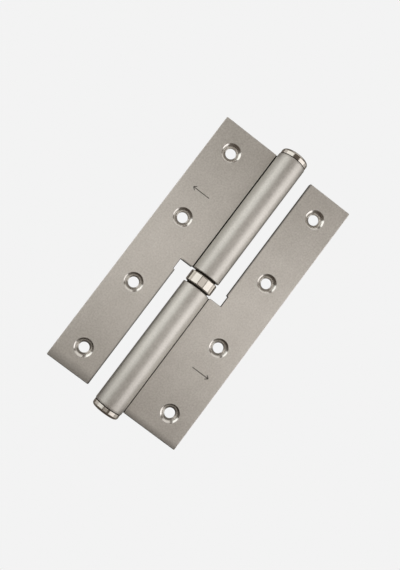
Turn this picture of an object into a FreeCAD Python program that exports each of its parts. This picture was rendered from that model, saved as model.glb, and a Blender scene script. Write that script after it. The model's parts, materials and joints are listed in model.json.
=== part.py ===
import FreeCAD, Part
import math
import operator
import os

import Sketcher

# Lift-off butt hinge, drawn open and flat, in millimetres.
# +Z runs up the pin and the countersunk faces look towards -Y. The origin is on the pin, at mid-height.
# The frame leaf lies on +X with the lower knuckle. The door leaf is the same pressing turned end for end,
# so the leaves' ends stand a little apart: each leaf lies lower or higher by the stagger.

SIZES = {
    # leaf pressing
    "leaf_length": 150.0,
    "leaf_stagger": 0.4,
    "leaf_reach": 40.0,
    "sheet_gauge": 3.0,
    "corner_radius": 0.6,
    "edge_break": 0.3,
    # rolled knuckle
    "knuckle_bore": 9.6,
    "knuckle_gap": 8.0,
    "knuckle_overrun": 1.4,
    "knuckle_setback": 0.5,
    "knuckle_rim_break": 0.4,
    "folded_gap": 2.0,
    "swage_radius": 4.0,
    "seam_gap": 0.3,
    "seam_groove_width": 0.6,
    "seam_groove_depth": 0.8,
    # narrow strip beside the other knuckle
    "strip_clearance": 6.7,
    "relief_depth": 0.9,
    "relief_length": 6.6,
    # screw holes
    "screw_count": 4,
    "screw_pitch": 41.0,
    "screw_hole": 5.5,
    "countersink_width": 10.0,
    "countersink_angle": 90.0,
    # pin
    "pin_play": 0.05,
    "pin_foot_room": 2.5,
    "pin_head_room": 14.5,
    "pin_lead": 0.8,
    "pin_nose": 1.5,
    "pin_nose_length": 3.0,
    # end caps
    "cap_inset": 0.25,
    "cap_height": 3.5,
    "cap_round": 1.3,
    "cap_groove": 0.4,
    "cap_spigot": 8.0,
    # thrust bearing
    "case_inset": 0.15,
    "case_standoff": 1.0,
    "case_foot": 1.0,
    "case_wall": 0.5,
    "case_round": 0.7,
    "case_lip": 0.9,
    "race_play": 0.15,
    "race_margin": 0.025,
    "groove_share": 0.75,
    "ball_play": 0.03,
    "ball_gap": 0.1,
    "ball_count": 16,
    # flats that make up a round rim and a ball
    "rim_flats": 3,
    "ball_flats": 12,
}

SHEET = "Sizes"
OPERATIONS = {"+": operator.add, "-": operator.sub, "*": operator.mul, "/": operator.truediv}
EDGE_SIZE = {"Fillet": "Radius", "Chamfer": "Size"}

# Bevel at 45 degrees that just touches a quarter round of radius 1
ROUND_BEVEL = 2 - math.sqrt(2)


class Size:
    """A length with its formula in the sheet's names and its present value."""

    def __init__(self, formula, value):
        self.formula = formula
        self.value = value

    def __add__(self, other):
        return joined(self, "+", other)

    def __sub__(self, other):
        return joined(self, "-", other)

    def __mul__(self, other):
        return joined(self, "*", other)

    def __truediv__(self, other):
        return joined(self, "/", other)

    def __rtruediv__(self, other):
        return joined(other, "/", self)

    def __neg__(self):
        return joined(0, "-", self)


def as_size(number):
    return number if isinstance(number, Size) else Size(repr(number), number)


def joined(left, sign, right):
    left = as_size(left)
    right = as_size(right)
    value = OPERATIONS[sign](left.value, right.value)
    return Size(f"({left.formula} {sign} {right.formula})", value)


def root(square):
    return Size(f"sqrt({square.formula})", math.sqrt(square.value))


def smaller(one, other):
    return Size(f"min({one.formula}; {other.formula})", min(one.value, other.value))


def sine(degrees):
    return Size(f"sin({degrees.formula} * 1 deg)", math.sin(math.radians(degrees.value)))


def cosine(degrees):
    return Size(f"cos({degrees.formula} * 1 deg)", math.cos(math.radians(degrees.value)))


def size(alias):
    return Size(f"{SHEET}.{alias}", SIZES[alias])


doc = FreeCAD.newDocument("lift_off_hinge")
sheet = doc.addObject("Spreadsheet::Sheet", SHEET)
for row, (alias, number) in enumerate(SIZES.items(), start=1):
    sheet.set(f"A{row}", alias)
    sheet.set(f"B{row}", str(number))
    sheet.setAlias(f"B{row}", alias)
doc.recompute()

# Sizes that several pieces share
half_length = size("leaf_length") / 2
half_gap = size("knuckle_gap") / 2
leaf_top = half_length - size("leaf_stagger")
leaf_bottom = -half_length - size("leaf_stagger")
notch_edge = size("knuckle_setback") - half_gap
bore_radius = size("knuckle_bore") / 2
barrel_radius = bore_radius + size("sheet_gauge")
front_face = size("folded_gap") / 2
back_face = front_face + size("sheet_gauge")
knuckle_end = size("knuckle_overrun") - leaf_bottom
pin_radius = bore_radius - size("pin_play")
strip_edge = barrel_radius + size("strip_clearance")

# Centre of the offset bend that brings the sheet from the barrel to the leaf
swage_y = back_face + size("swage_radius")
swage_span = barrel_radius + size("swage_radius")
swage_x = root(swage_span * swage_span - swage_y * swage_y)
swage_front = size("swage_radius") + size("sheet_gauge")

# Levels and radii of the bearing, which stands on the end face of the lower knuckle
case_radius = barrel_radius - size("case_inset")
case_bottom = -half_gap
case_top = half_gap - size("case_standoff")
case_inside = case_radius - size("case_wall")
case_ceiling = case_top - size("case_wall")
lip_radius = case_inside - size("case_lip")
lip_bevel = (size("case_round") - size("case_wall")) * ROUND_BEVEL
race_inside = pin_radius + size("race_play")
race_outside = case_inside - size("race_play")
race_shoulder = case_ceiling - size("race_play")

# Largest balls that fit between the pin and the case, and side by side round the pin
ball_circle = (race_inside + race_outside) / 2
ball_spacing = ball_circle * sine(180 / size("ball_count")) * 2
ball_width = smaller(race_outside - race_inside - size("race_margin") * 2, ball_spacing - size("ball_gap"))
ball_radius = ball_width / 2
ball_level = (case_bottom + race_shoulder) / 2

# Depth of the grooves, with sides at 45 degrees, and the height of a ball's middle above the race
groove_depth = ball_radius * size("groove_share")
ball_seat = ball_radius * math.sqrt(2) + size("ball_play") - groove_depth


def new_body(label):
    body = doc.addObject("PartDesign::Body", label)
    body.Label = label
    return body


def origin_plane(body, role):
    return next(plane for plane in body.Origin.OriginFeatures if plane.Role == role)


def new_sketch(body, role, name, height=None):
    """Sketch on an origin plane of its body, or at a height above that plane."""
    sketch = body.newObject("Sketcher::SketchObject", name)
    sketch.AttachmentSupport = [(origin_plane(body, role), "")]
    sketch.MapMode = "FlatFace"
    if height is not None:
        sketch.setExpression("AttachmentOffset.Base.z", height.formula)
    return sketch


def bind(sketch, kind, where, length):
    index = sketch.addConstraint(Sketcher.Constraint(kind, *where, length.value))
    sketch.setExpression(f"Constraints[{index}]", length.formula)


def hold_point(sketch, geometry, point, x, y):
    bind(sketch, "DistanceX", (-1, 1, geometry, point), as_size(x))
    bind(sketch, "DistanceY", (-1, 1, geometry, point), as_size(y))


def draw_outline(sketch, corners):
    """Closed outline of straight lines through corners held at their x and y."""
    corners = [(as_size(x), as_size(y)) for x, y in corners]
    points = [FreeCAD.Vector(x.value, y.value, 0) for x, y in corners]
    for start, end in zip(points, points[1:] + points[:1]):
        sketch.addGeometry(Part.LineSegment(start, end))
    for line, (x, y) in enumerate(corners):
        following = (line + 1) % len(corners)
        sketch.addConstraint(Sketcher.Constraint("Coincident", line, 2, following, 1))
        hold_point(sketch, line, 1, x, y)


def draw_circle(sketch, x, y, radius):
    x = as_size(x)
    y = as_size(y)
    centre = FreeCAD.Vector(x.value, y.value, 0)
    circle = sketch.addGeometry(Part.Circle(centre, FreeCAD.Vector(0, 0, 1), radius.value))
    hold_point(sketch, circle, 3, x, y)
    bind(sketch, "Radius", (circle,), radius)


def draw_arc(sketch, x, y, radius, start, end):
    centre = FreeCAD.Vector(x.value, y.value, 0)
    circle = Part.Circle(centre, FreeCAD.Vector(0, 0, 1), radius.value)
    return sketch.addGeometry(Part.ArcOfCircle(circle, start, end))


def add_pad(body, sketch, length, downwards=False):
    pad = body.newObject("PartDesign::Pad", f"{sketch.Name}_pad")
    pad.Profile = sketch
    pad.Reversed = downwards
    pad.setExpression("Length", length.formula)
    doc.recompute()
    return pad


def add_turning(body, sketch):
    """Revolution of a sketch once round the pin's axis."""
    turning = body.newObject("PartDesign::Revolution", f"{sketch.Name}_turned")
    turning.Profile = sketch
    turning.ReferenceAxis = (sketch, ["V_Axis"])
    turning.Angle = 360
    doc.recompute()


def add_edge_form(body, base, kind, name, amount, chosen):
    """Fillet or Chamfer of the edges of base that chosen accepts."""
    edges = [f"Edge{number}" for number, edge in enumerate(base.Shape.Edges, start=1) if chosen(edge)]
    if not edges:
        raise RuntimeError(f"{name} found no edge")
    form = body.newObject(f"PartDesign::{kind}", name)
    form.Base = (base, edges)
    form.setExpression(EDGE_SIZE[kind], amount.formula)
    doc.recompute()
    return form


def near(one, other):
    return abs(one - other) < 1e-4


def is_ring(edge, radius, level):
    """Whether an edge is an arc or circle of this radius about the pin's axis at this level."""
    curve = edge.Curve
    if not isinstance(curve, Part.Circle) or not near(curve.Radius, radius.value):
        return False
    centre = curve.Center
    return near(centre.x, 0) and near(centre.y, 0) and near(centre.z, level.value)


def add_leaf_plate(body):
    """Flat leaf: wide beside its own knuckle, a narrow strip beside the other one."""
    sketch = new_sketch(body, "XZ_Plane", f"{body.Name}_outline", -front_face)
    relief_edge = strip_edge + size("relief_depth")
    relief_end = size("relief_length") - half_gap
    draw_outline(
        sketch,
        [
            (swage_x, leaf_bottom),
            (size("leaf_reach"), leaf_bottom),
            (size("leaf_reach"), leaf_top),
            (strip_edge, leaf_top),
            (strip_edge, relief_end),
            (relief_edge, relief_end),
            (relief_edge, notch_edge),
            (swage_x, notch_edge),
        ],
    )
    plate = add_pad(body, sketch, size("sheet_gauge"), downwards=True)
    corners = f"{body.Name}_corners"
    return add_edge_form(body, plate, "Fillet", corners, size("corner_radius"), is_leaf_corner)


def is_leaf_corner(edge):
    """Whether an edge runs through the sheet at one of the three outer corners of the leaf."""
    start = edge.Vertexes[0].Point
    end = edge.Vertexes[-1].Point
    if not near(start.x, end.x) or not near(start.z, end.z):
        return False
    return is_leaf_end(start.z) and not near(start.x, swage_x.value)


def is_leaf_end(level):
    return near(level, leaf_top.value) or near(level, leaf_bottom.value)


def draw_roll(sketch, to_leaf):
    """Section of the rolled sheet, from its tip at the seam round the bore to the offset bend."""
    leave = math.atan2(swage_y.value, swage_x.value)
    tip_y = front_face - size("seam_gap")
    tip = 2 * math.pi + math.asin(tip_y.value / barrel_radius.value)
    outer_start = leave if to_leaf else leave - trim_turn()
    zero = as_size(0)
    bore = draw_arc(sketch, zero, zero, bore_radius, leave, tip)
    outer = draw_arc(sketch, zero, zero, barrel_radius, outer_start, tip)
    for arc, radius in ((bore, bore_radius), (outer, barrel_radius)):
        sketch.addConstraint(Sketcher.Constraint("Coincident", arc, 3, -1, 1))
        bind(sketch, "Radius", (arc,), radius)
    tip_line = join_ends(sketch, bore, 2, outer, 2)
    sketch.addConstraint(Sketcher.Constraint("PointOnObject", -1, 1, tip_line))
    bind(sketch, "DistanceY", (-1, 1, outer, 2), tip_y)
    if to_leaf:
        close_at_leaf(sketch, bore, outer, leave)
    else:
        close_at_barrel(sketch, bore, outer, leave)


def trim_turn():
    """Turn about the pin from where the sheet leaves the bore to where its front meets the barrel."""
    span = swage_span.value
    barrel = barrel_radius.value
    return math.acos((span**2 + barrel**2 - swage_front.value**2) / (2 * span * barrel))


def join_ends(sketch, first, first_end, second, second_end):
    """Straight line between an end of one arc and an end of another."""
    start = sketch.getPoint(first, first_end)
    end = sketch.getPoint(second, second_end)
    line = sketch.addGeometry(Part.LineSegment(start, end))
    sketch.addConstraint(Sketcher.Constraint("Coincident", line, 1, first, first_end))
    sketch.addConstraint(Sketcher.Constraint("Coincident", line, 2, second, second_end))
    return line


def close_at_leaf(sketch, bore, outer, leave):
    """Offset bend, tangent to the bore and the barrel, ending where the flat leaf starts."""
    turn = (math.pi + leave, 1.5 * math.pi)
    front = draw_arc(sketch, swage_x, swage_y, swage_front, *turn)
    back = draw_arc(sketch, swage_x, swage_y, size("swage_radius"), *turn)
    sketch.addConstraint(Sketcher.Constraint("Coincident", front, 3, back, 3))
    bind(sketch, "DistanceY", (-1, 1, back, 3), swage_y)
    bind(sketch, "Radius", (back,), size("swage_radius"))
    sketch.addConstraint(Sketcher.Constraint("Tangent", bore, 1, front, 1))
    sketch.addConstraint(Sketcher.Constraint("Tangent", outer, 1, back, 1))
    end_line = join_ends(sketch, front, 2, back, 2)
    sketch.addConstraint(Sketcher.Constraint("Vertical", end_line))
    sketch.addConstraint(Sketcher.Constraint("PointOnObject", back, 3, end_line))


def close_at_barrel(sketch, bore, outer, leave):
    """Front of the offset bend, trimmed round where it reaches the barrel's outside."""
    corner = sketch.getPoint(outer, 1)
    corner_turn = math.atan2(corner.y - swage_y.value, corner.x - swage_x.value)
    front = draw_arc(sketch, swage_x, swage_y, swage_front, math.pi + leave, 2 * math.pi + corner_turn)
    bind(sketch, "DistanceY", (-1, 1, front, 3), swage_y)
    bind(sketch, "Radius", (front,), swage_front)
    sketch.addConstraint(Sketcher.Constraint("Tangent", bore, 1, front, 1))
    sketch.addConstraint(Sketcher.Constraint("Coincident", front, 2, outer, 1))


def add_knuckle(body):
    """Knuckle rolled from the leaf's own sheet, a little longer than the leaf at its outer end."""
    sketch = new_sketch(body, "XY_Plane", f"{body.Name}_roll", -half_gap)
    draw_roll(sketch, to_leaf=True)
    add_pad(body, sketch, -leaf_bottom - half_gap, downwards=True)
    rim = new_sketch(body, "XY_Plane", f"{body.Name}_rim", leaf_bottom)
    draw_roll(rim, to_leaf=False)
    knuckle = add_pad(body, rim, size("knuckle_overrun"), downwards=True)
    rim_break = f"{body.Name}_rim_break"
    add_edge_form(body, knuckle, "Chamfer", rim_break, size("knuckle_rim_break"), is_knuckle_rim)
    add_seam_groove(body)


def add_seam_groove(body):
    """Groove along the leaf's front under the rolled tip, which shows as the seam beside the barrel."""
    sketch = new_sketch(body, "XY_Plane", f"{body.Name}_seam", -half_gap)
    inner = barrel_radius - size("seam_groove_width")
    outer = barrel_radius + size("seam_groove_width")
    mouth = front_face - size("seam_gap") / 2
    bottom = front_face + size("seam_groove_depth")
    draw_outline(sketch, [(inner, mouth), (outer, mouth), (outer, bottom), (inner, bottom)])
    before = body.Shape.Volume
    groove = body.newObject("PartDesign::Pocket", f"{body.Name}_seam_groove")
    groove.Profile = sketch
    groove.setExpression("Length", (-leaf_bottom - half_gap).formula)
    doc.recompute()
    if body.Shape.Volume >= before:
        raise RuntimeError("the seam groove cut nothing")


def is_knuckle_rim(edge):
    """Whether an edge is the outer rim at either end of the lower knuckle."""
    return is_ring(edge, barrel_radius, -knuckle_end) or is_ring(edge, barrel_radius, -half_gap)


def add_screw_holes(body):
    """Row of countersunk holes along the middle of the narrow strip."""
    sketch = new_sketch(body, "XZ_Plane", f"{body.Name}_first_screw", -front_face)
    first = (leaf_top + leaf_bottom) / 2 - size("screw_pitch") * (size("screw_count") - 1) / 2
    draw_circle(sketch, (strip_edge + size("leaf_reach")) / 2, first, size("screw_hole") / 2)
    doc.recompute()
    before = body.Shape.Volume
    hole = body.newObject("PartDesign::Hole", f"{body.Name}_screw_hole")
    hole.Profile = sketch
    hole.DepthType = "ThroughAll"
    hole.HoleCutType = "Countersink"
    hole.setExpression("Diameter", size("screw_hole").formula)
    hole.setExpression("HoleCutDiameter", size("countersink_width").formula)
    hole.setExpression("HoleCutCountersinkAngle", size("countersink_angle").formula)
    doc.recompute()
    row = body.newObject("PartDesign::LinearPattern", f"{body.Name}_screw_row")
    row.Originals = [hole]
    row.Direction = (sketch, ["V_Axis"])
    row.setExpression("Length", (size("screw_pitch") * (size("screw_count") - 1)).formula)
    row.setExpression("Occurrences", size("screw_count").formula)
    body.Tip = row
    doc.recompute()
    if body.Shape.Volume >= before:
        raise RuntimeError("the screw holes cut nothing")
    return row


def is_front_rim(edge):
    """Whether an edge is a straight outer border of the countersunk face."""
    start = edge.Vertexes[0].Point
    end = edge.Vertexes[-1].Point
    if not near(start.y, front_face.value) or not near(end.y, front_face.value):
        return False
    along_pin = near(start.x, end.x) and start.x > strip_edge.value - 1e-4
    along_end = near(start.z, end.z) and is_leaf_end(start.z)
    return along_pin or along_end


def build_leaf(label):
    leaf = new_body(label)
    plate = add_leaf_plate(leaf)
    add_edge_form(leaf, plate, "Chamfer", f"{label}_edge_break", size("edge_break"), is_front_rim)
    add_knuckle(leaf)
    add_screw_holes(leaf)
    return leaf


def build_turned(label, outline):
    """Piece turned about the pin's axis from an outline of radius and level."""
    body = new_body(label)
    sketch = new_sketch(body, "XZ_Plane", f"{label}_section")
    draw_outline(sketch, outline)
    add_turning(body, sketch)
    return body


def rim_round(rim, face, radius, upper=False):
    """Quarter round in a few flats, from an end face out to the rim."""
    centre = face - radius if upper else face + radius
    corners = []
    for step in range(SIZES["rim_flats"] + 1):
        turn = math.pi / 2 * step / SIZES["rim_flats"]
        fall = radius * math.cos(turn)
        level = centre + fall if upper else centre - fall
        corners.append((rim - radius + radius * math.sin(turn), level))
    return corners


def build_pin():
    """Pin pressed into the lower knuckle and running, a little thinner, in the upper one."""
    cap_face = knuckle_end - size("cap_spigot")
    foot = size("pin_foot_room") - cap_face
    top = cap_face - size("pin_head_room")
    nose_radius = pin_radius - size("pin_nose")
    outline = [
        (0, foot),
        (bore_radius - size("pin_lead"), foot),
        (bore_radius, foot + size("pin_lead")),
        (bore_radius, -half_gap),
        (pin_radius, -half_gap),
        (pin_radius, top - size("pin_nose_length")),
        (nose_radius, top),
        (0, top),
    ]
    return build_turned("hinge_pin", outline)


def build_cap(label):
    """Cap for the outer end of the lower knuckle, held by a spigot pressed into the bore."""
    rim = barrel_radius - size("cap_inset")
    seat = -knuckle_end
    face = seat - size("cap_height")
    spigot_end = seat + size("cap_spigot")
    outline = [
        (0, face),
        *rim_round(rim, face, size("cap_round")),
        (rim, seat - size("cap_groove")),
        (rim - size("cap_groove"), seat),
        (bore_radius, seat),
        (bore_radius, spigot_end),
        (0, spigot_end),
    ]
    return build_turned(label, outline)


def build_bearing_case():
    """Ring on a narrower foot, with a groove in its floor and its lip curled in over the upper race."""
    floor = ball_level - ball_seat
    skirt = case_bottom + size("case_foot")
    outline = [
        (race_inside, case_bottom),
        (lip_radius, case_bottom),
        (lip_radius, skirt),
        *rim_round(case_radius, skirt, size("case_round")),
        *reversed(rim_round(case_radius, case_top, size("case_round"), upper=True)),
        (lip_radius, case_top),
        (lip_radius, case_ceiling),
        (case_inside - lip_bevel, case_ceiling),
        (case_inside, case_ceiling - lip_bevel),
        (case_inside, floor),
        (ball_circle + groove_depth, floor),
        (ball_circle, floor - groove_depth),
        (ball_circle - groove_depth, floor),
        (race_inside, floor),
    ]
    return build_turned("bearing_case", outline)


def build_upper_race():
    """Race with a shoulder under the curled lip and a collar that carries the upper knuckle."""
    collar = lip_radius - size("race_play")
    ceiling = ball_level + ball_seat
    outline = [
        (race_inside, ceiling),
        (ball_circle - groove_depth, ceiling),
        (ball_circle, ceiling + groove_depth),
        (ball_circle + groove_depth, ceiling),
        (race_outside, ceiling),
        (race_outside, race_shoulder - lip_bevel),
        (race_outside - lip_bevel, race_shoulder),
        (collar, race_shoulder),
        (collar, half_gap),
        (race_inside, half_gap),
    ]
    return build_turned("upper_race", outline)


def build_ball_form():
    """Ball standing on the origin in a few flats, because it repeats and lies hidden."""
    form = new_body("ball_form")
    prism = form.newObject("PartDesign::AdditivePrism", "ball_prism")
    prism.setExpression("Polygon", size("ball_flats").formula)
    prism.setExpression("Circumradius", (ball_radius / cosine(180 / size("ball_flats"))).formula)
    prism.setExpression("Height", ball_width.formula)
    doc.recompute()
    add_edge_form(form, prism, "Chamfer", "ball_bevel", ball_radius * ROUND_BEVEL, is_level)
    return form


def is_level(edge):
    return near(edge.Vertexes[0].Point.z, edge.Vertexes[-1].Point.z)


def place_ball(form, number):
    ball = doc.addObject("Part::Compound", f"ball_{number:02d}")
    ball.Label = f"ball_{number:02d}"
    ball.Links = [form]
    turn = f"({number - 1} * 360 deg / {SHEET}.ball_count)"
    ball.setExpression("Placement.Base.x", f"{ball_circle.formula} * cos{turn}")
    ball.setExpression("Placement.Base.y", f"{ball_circle.formula} * sin{turn}")
    ball.setExpression("Placement.Base.z", (ball_level - ball_radius).formula)
    return ball


def turn_end_for_end(body):
    """Half turn about the line of sight, from the lower knuckle's side to the upper one's."""
    body.Placement = FreeCAD.Placement(FreeCAD.Vector(), FreeCAD.Rotation(FreeCAD.Vector(0, 1, 0), 180))
    return body


def write_parts(pieces):
    doc.recompute()
    failed = [item.Name for item in doc.Objects if {"Invalid", "Error"} & set(item.State)]
    if failed:
        raise RuntimeError(f"failed to build: {', '.join(failed)}")
    for piece in pieces:
        shape = piece.Shape
        if shape.isNull() or not shape.isValid() or len(shape.Solids) != 1:
            raise RuntimeError(f"{piece.Label} is not one valid solid")
    os.makedirs("parts", exist_ok=True)
    for piece in pieces:
        piece.Shape.exportStep(f"parts/{piece.Label}.step")


pieces = [
    build_leaf("frame_leaf"),
    turn_end_for_end(build_leaf("door_leaf")),
    build_pin(),
    build_cap("bottom_cap"),
    turn_end_for_end(build_cap("top_cap")),
    build_bearing_case(),
    build_upper_race(),
]
ball_form = build_ball_form()
pieces += [place_ball(ball_form, number) for number in range(1, SIZES["ball_count"] + 1)]
write_parts(pieces)
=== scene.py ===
import json
import math
from contextlib import contextmanager

import bmesh
import bpy
from mathutils import Matrix, Vector


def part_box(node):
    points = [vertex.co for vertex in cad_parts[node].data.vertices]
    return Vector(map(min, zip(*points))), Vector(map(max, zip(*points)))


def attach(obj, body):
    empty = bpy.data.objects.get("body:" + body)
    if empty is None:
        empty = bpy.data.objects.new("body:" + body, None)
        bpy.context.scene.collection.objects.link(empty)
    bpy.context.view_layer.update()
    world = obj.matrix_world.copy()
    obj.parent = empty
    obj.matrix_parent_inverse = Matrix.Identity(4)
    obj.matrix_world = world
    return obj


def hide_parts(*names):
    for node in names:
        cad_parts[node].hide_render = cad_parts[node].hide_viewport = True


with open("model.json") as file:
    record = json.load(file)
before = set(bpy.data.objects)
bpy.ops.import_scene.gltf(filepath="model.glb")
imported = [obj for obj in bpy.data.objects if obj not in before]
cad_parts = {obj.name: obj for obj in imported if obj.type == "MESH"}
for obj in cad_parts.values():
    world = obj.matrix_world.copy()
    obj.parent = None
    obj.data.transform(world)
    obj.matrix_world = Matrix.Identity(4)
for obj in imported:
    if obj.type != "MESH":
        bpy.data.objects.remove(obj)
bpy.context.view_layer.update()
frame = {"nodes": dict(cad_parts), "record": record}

bl_info = {
    "name": "Lift-off hinge",
    "version": (1, 0, 0),
    "blender": (4, 5, 0),
    "location": "3D View > Sidebar > Hinge",
    "description": "Models and finishes a lift-off butt hinge round its packed frame",
    "category": "Object",
}

MM = 0.001
PHOTO_HEIGHT = 570
SENSOR_WIDTH = 36.0

# Distances under which two places are the same, and under which vertices are merged
SAME = 2e-6
MERGE = 1e-7

# Slack when faces are found by their place
SLACK = 0.01 * MM
LOOSE = 0.05 * MM

# Shares of a direction that make it count as along an axis, as facing a side and as facing the front
ALONG = 0.9
FACING = 0.2
FRONTWARD = 0.5

# Shares of a face's normal across the sheet: on flat sheet, and above those of broken and sheared edges
FLAT = 0.999
UNBROKEN = 0.99
UNSHEARED = 0.95

# Angles past which an edge is shaded sharp, and is broken
SHARP_SHADING = math.radians(35)
SHARP_EDGE = math.radians(40)

# Places that the frame gives
LEAF_LOW, LEAF_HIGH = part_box("frame_leaf")
CAP_LOW, CAP_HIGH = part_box("bottom_cap")
CASE_LOW, CASE_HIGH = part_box("bearing_case")
RACE_LOW, RACE_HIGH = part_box("upper_race")
PIN_LOW, PIN_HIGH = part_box("hinge_pin")
MOUNTS = {mount["name"]: mount for mount in frame["record"]["mounts"]}
BALLS = sorted(name for name in frame["nodes"] if name.startswith("ball_"))


def length(name, description, millimetres):
    return bpy.props.FloatProperty(
        name=name, description=description, default=millimetres * MM, unit="LENGTH", precision=5
    )


def angle(name, description, degrees):
    return bpy.props.FloatProperty(
        name=name, description=description, default=math.radians(degrees), subtype="ANGLE"
    )


def colour(name, description, red, green, blue):
    return bpy.props.FloatVectorProperty(
        name=name, description=description, default=(red, green, blue), subtype="COLOR", min=0, max=1
    )


def factor(name, description, value):
    return bpy.props.FloatProperty(
        name=name, description=description, default=value, min=0, max=1, subtype="FACTOR"
    )


def count(name, description, value):
    return bpy.props.IntProperty(name=name, description=description, default=value, min=1)


class LeafSizes(bpy.types.PropertyGroup):
    """Sizes of the rolled leaves that the frame doesn't give."""

    gauge: length("Sheet gauge", "Thickness of the sheet", 3.0)
    front: length("Front face", "Distance of the countersunk face behind the pin's axis", 1.0)
    bend: length("Offset bend", "Inner radius of the bend between barrel and leaf", 4.0)
    seam: length("Seam gap", "Gap between the rolled tip and the leaf", 0.3)
    groove_width: length("Seam groove width", "Width of the groove beside the barrel", 0.6)
    groove_depth: length("Seam groove depth", "Depth of the groove beside the barrel", 0.8)
    groove_round: length("Seam groove round", "Rounding at the bottom of the groove", 0.1)
    strip: length("Strip clearance", "Distance from the other barrel to the narrow strip", 6.7)
    setback: length("Knuckle setback", "Distance of the knuckle's end behind the leaf's edge", 0.5)
    relief_depth: length("Relief depth", "Depth of the notch in the strip's edge", 0.9)
    relief_length: length("Relief length", "Length of the notch in the strip's edge", 6.6)
    corner: length("Corner radius", "Radius of the leaf's corners", 0.6)
    rim_round: length("Rim rounding", "Rounding of the knuckle's end beside the bearing", 0.4)
    edge: length("Edge break", "Width of the sheet's broken edges", 0.4)
    burr: length("Hole edge break", "Width of the broken edges of the holes and the arrow", 0.05)
    countersink: length("Countersink", "Width of a countersink at the face", 10.0)
    mark_level: length("Mark level", "Height of the stamped arrow from mid-length", 36.5)
    mark_length: length("Mark length", "Length of the stamped arrow", 10.0)
    mark_stroke: length("Mark stroke", "Width of a stroke of the stamped arrow", 0.42)
    mark_depth: length("Mark depth", "Depth of the stamped arrow", 0.18)
    barb: length("Barb length", "Length of the arrow's two barbs", 2.0)
    barb_turn: angle("Barb turn", "Turn of the arrow's barbs from its shaft", 38)
    barrel_fade: length("Barrel fade", "Width over which the barrel's finish turns into the leaf's", 0.4)
    # Sizes of the painted shade at the leaves' lower ends and along the edges next to the pin
    door_shade_length: length("Door leaf pull", "Length of the darker strip at the door leaf's lower end", 6.3)
    frame_shade_length: length("Frame leaf pull", "Length of the darker strip at the frame leaf's lower end", 3.5)
    inner_shade_width: length("Inner edge pull", "Width of the darker strip along the edges next to the pin", 1.0)
    roll_steps: count("Roll steps", "Facets round the rolled barrel", 84)
    bend_steps: count("Bend steps", "Facets round the offset bend", 14)
    hole_steps: count("Hole steps", "Facets round a screw hole", 72)
    corner_steps: count("Corner steps", "Facets across a rounded corner or rim", 4)
    edge_steps: count("Edge steps", "Facets across a broken edge", 3)


class BarrelSizes(bpy.types.PropertyGroup):
    """Sizes of the caps, bearing and pin that the frame doesn't give."""

    cap_round: length("Cap round", "Radius of a cap's outer rim", 1.3)
    cap_groove: length("Cap groove", "Bevel of a cap where it meets the barrel", 0.4)
    case_foot: length("Case foot", "Height of the narrower foot under the case", 1.0)
    case_round: length("Case round", "Radius of the bearing case's rims", 0.7)
    case_wall: length("Case wall", "Thickness of the bearing case", 0.5)
    case_lip: length("Case lip", "Reach of the case's curled lip", 0.9)
    race_play: length("Race play", "Play round the race", 0.15)
    groove_share: factor("Groove share", "Depth of the ball grooves against a ball's radius", 0.75)
    pin_play: length("Pin play", "Play of the pin in the upper barrel", 0.05)
    pin_lead: length("Pin lead", "Bevel of the pin's pressed end", 0.8)
    pin_nose: length("Pin nose", "Radius lost at the pin's nose", 1.5)
    pin_nose_length: length("Pin nose length", "Length of the pin's nose", 3.0)
    pin_round: length("Pin round", "Rounding of the pin's nose", 0.36)
    edge: length("Edge break", "Width of the broken edges", 0.12)
    turn_steps: count("Turn steps", "Facets round a turned piece", 128)
    round_steps: count("Round steps", "Facets across a rounded rim", 9)
    nose_steps: count("Nose steps", "Facets across the rounding of the pin's nose", 4)
    edge_steps: count("Edge steps", "Facets across a broken edge", 2)
    ball_cuts: count("Ball cuts", "Cuts across each side of the cube that a ball is made from", 11)


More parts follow.
